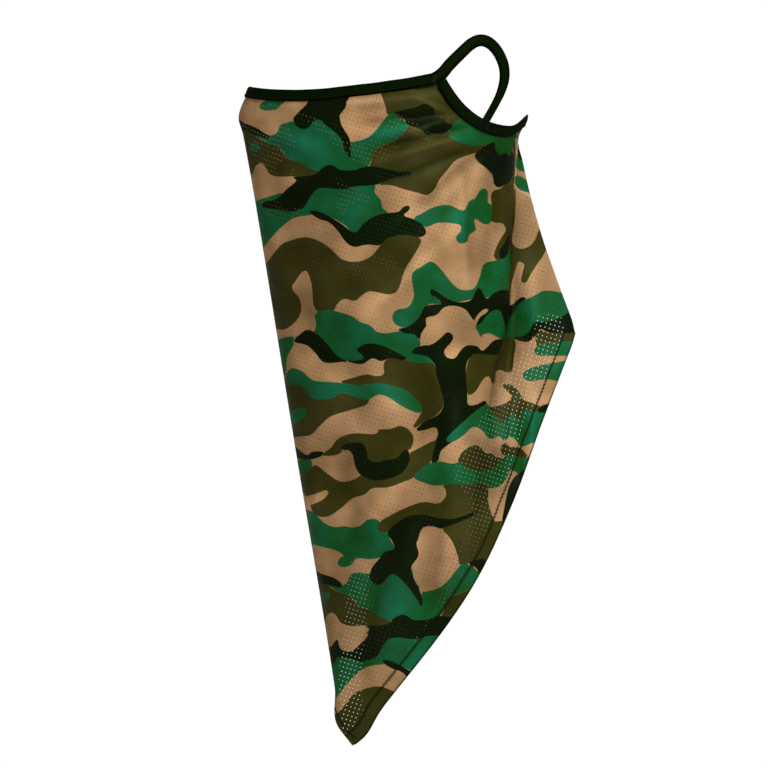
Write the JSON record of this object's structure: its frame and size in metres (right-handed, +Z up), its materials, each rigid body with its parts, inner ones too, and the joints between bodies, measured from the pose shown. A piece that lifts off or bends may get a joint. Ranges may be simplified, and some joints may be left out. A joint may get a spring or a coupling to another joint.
{
  "type": "camouflage face mask",
  "caption": "Neck-length face mask: a tube of perforated camouflage mesh with a bound head opening, two elastic ear loops and a pointed front tail with a hem.",
  "frame": {"origin": "centre of the head opening, level with the ear loops' roots, where the worn mask is held up by the nose, the ears and the nape", "axes": "+Z up, -Y towards the wearer's nose, +X towards the wearer's left; the two sides mirror each other across X = 0"},
  "size_m": [0.1218, 0.2278, 0.4763],
  "materials": {
    "camo_mesh": "satin",
    "hem_cloth": "satin",
    "elastic": "matte",
    "thread": "matte"
  },
  "bodies": {
    "mask": {"mesh_body": "camo_mesh", "left_hem": "hem_cloth", "right_hem": "hem_cloth", "back_seam": "hem_cloth", "back_seam_overlock": "thread", "nose_binding": "elastic", "nape_binding": "elastic", "left_upper_bartack": "thread", "left_lower_bartack": "thread", "right_upper_bartack": "thread", "right_lower_bartack": "thread", "nose_binding_stitching": "thread", "nape_binding_stitching": "thread", "left_hem_stitching": "thread", "right_hem_stitching": "thread"},
    "left_loop": {"left_ear_loop": "elastic"},
    "right_loop": {"right_ear_loop": "elastic"}
  },
  "joints": [
    {"name": "left_loop_flex", "type": "hinge", "parent": "mask", "child": "left_loop", "pos_m": [0.05693, 0.0395, 0.0195], "axis": [-0.3506, 0.6622, -0.6622], "range_deg": [-60, 100], "stiffness_Nm_per_rad": 0.002},
    {"name": "right_loop_flex", "type": "hinge", "parent": "mask", "child": "right_loop", "pos_m": [-0.05693, 0.0395, 0.0195], "axis": [-0.3506, -0.6622, 0.6622], "range_deg": [-60, 100], "stiffness_Nm_per_rad": 0.002}
  ]
}
